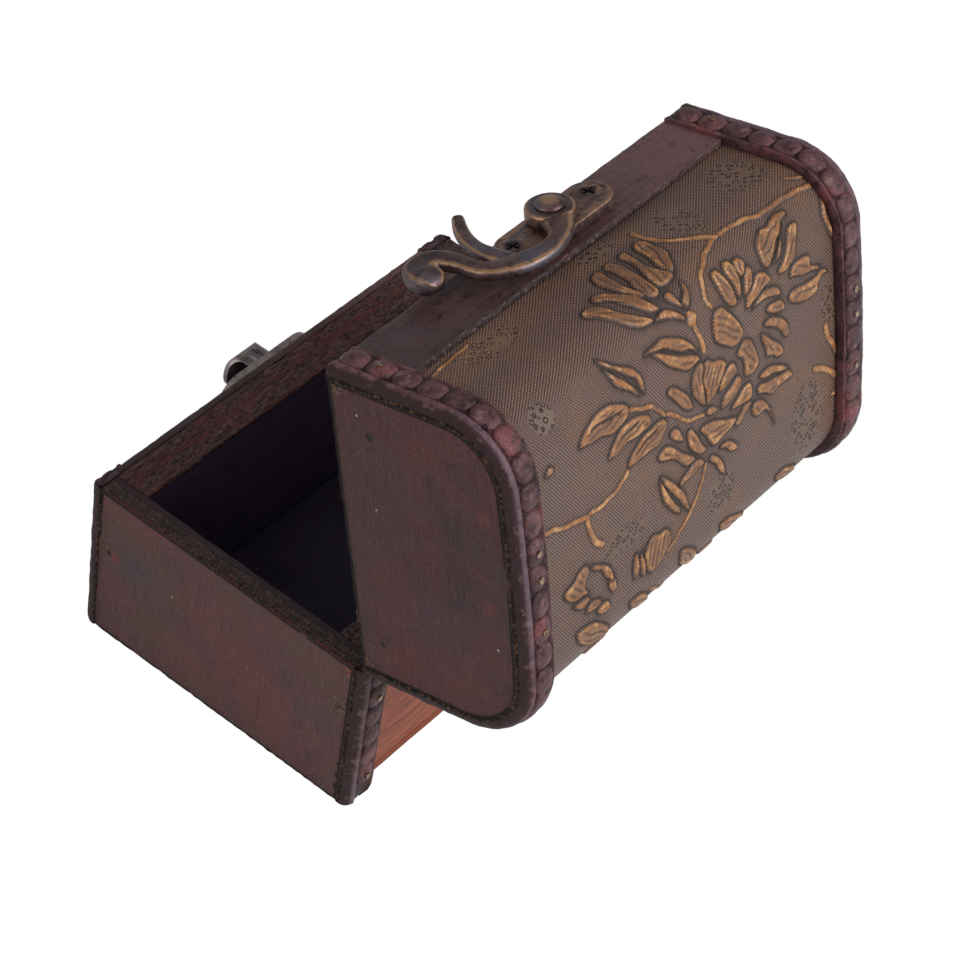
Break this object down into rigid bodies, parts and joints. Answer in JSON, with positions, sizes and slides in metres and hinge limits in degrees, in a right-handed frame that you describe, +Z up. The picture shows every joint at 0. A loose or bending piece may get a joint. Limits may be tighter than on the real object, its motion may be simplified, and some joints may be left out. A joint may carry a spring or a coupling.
{
  "type": "jewelry box",
  "caption": "Small treasure-chest jewelry box: domed lid on hinges, embossed cover, beaded corner trims and a swing-hook latch.",
  "frame": {"origin": "centre of the floor's underside", "axes": "+X to the right along the box, -Y towards the latch side, +Z up; the lid stands open as in the rest pose"},
  "size_m": [0.098, 0.1033, 0.1058],
  "materials": {
    "stained_wood": "dark reddish-brown stain, worn satin",
    "bare_wood": "lighter red stain, satin",
    "rail_wood": "dark red stain, worn glossy",
    "trim_wood": "dark red stain, worn glossy",
    "embossed_cover": "embossed and rubbed with bronze",
    "antique_bronze": "dark antique finish, edges worn bright",
    "hinge_brass": "dull",
    "nail_brass": "dull"
  },
  "bodies": {
    "base": {"base_floor": "stained_wood", "base_front_wall": "stained_wood", "base_back_wall": "bare_wood", "base_end_right": "stained_wood", "base_end_left": "stained_wood", "base_front_rail": "rail_wood", "base_front_cover": "embossed_cover", "base_trim_front_right": "trim_wood", "base_trim_front_left": "trim_wood", "base_trim_back_right": "trim_wood", "base_trim_back_left": "trim_wood", "base_trim_nails": "nail_brass", "keeper_plate": "antique_bronze", "keeper_screws": "antique_bronze", "base_hinge_leaf_right": "hinge_brass", "base_hinge_leaf_left": "hinge_brass", "hinge_pin_right": "hinge_brass", "hinge_pin_left": "hinge_brass", "base_hinge_screws": "hinge_brass"},
    "lid": {"lid_front_wall": "stained_wood", "lid_back_wall": "bare_wood", "lid_end_right": "stained_wood", "lid_end_left": "stained_wood", "lid_top_board": "stained_wood", "lid_front_rail": "rail_wood", "lid_cover": "embossed_cover", "lid_trim_right": "trim_wood", "lid_trim_left": "trim_wood", "lid_trim_nails": "nail_brass", "latch_plate": "antique_bronze", "latch_screws": "antique_bronze", "latch_rivet": "antique_bronze", "lid_hinge_leaf_right": "hinge_brass", "lid_hinge_leaf_left": "hinge_brass", "lid_hinge_screws": "hinge_brass"},
    "hook": {"latch_hook": "antique_bronze"}
  },
  "joints": [
    {"name": "lid_hinge", "type": "hinge", "parent": "base", "child": "lid", "pos_m": [0, 0.0315, 0.03635], "axis": [-1, 0, 0], "range_deg": [-75.4, 0]},
    {"name": "hook_swing", "type": "hinge", "parent": "lid", "child": "hook", "pos_m": [-0.0028, 0.02005, 0.10234], "axis": [0, -0.2521, 0.9677], "range_deg": [-19, 75]}
  ]
}
